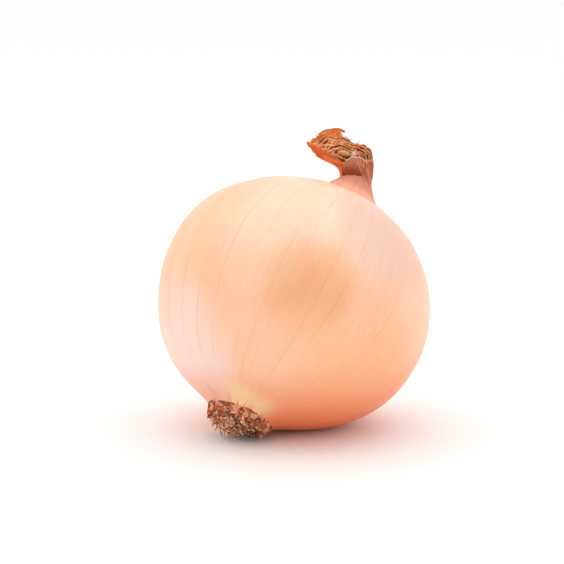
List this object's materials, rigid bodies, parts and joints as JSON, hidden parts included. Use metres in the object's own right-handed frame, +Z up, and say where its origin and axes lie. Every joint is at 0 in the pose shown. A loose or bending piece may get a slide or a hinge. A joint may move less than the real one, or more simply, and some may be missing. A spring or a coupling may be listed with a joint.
{
  "type": "onion",
  "caption": "Whole yellow onion lying tilted on its side, with a dry ribbed skin, a torn folded neck and a ragged root tuft.",
  "frame": {"origin": "middle of the small flat spot that the bulb rests on", "axes": "+Z up from the surface, +X towards the side that the neck leans to"},
  "size_m": [0.0784, 0.0794, 0.0838],
  "materials": {
    "golden_skin": "satin dry papery skin, golden peach with fine darker veins",
    "dried_leaf": "dry crinkled leaf, russet brown, paler at the torn edges",
    "dried_root": "matt dried fibre, tan with dark gaps"
  },
  "bodies": {
    "root": {"bulb": "golden_skin", "neck_leaves": "dried_leaf", "root_tuft": "dried_root"}
  },
  "joints": []
}
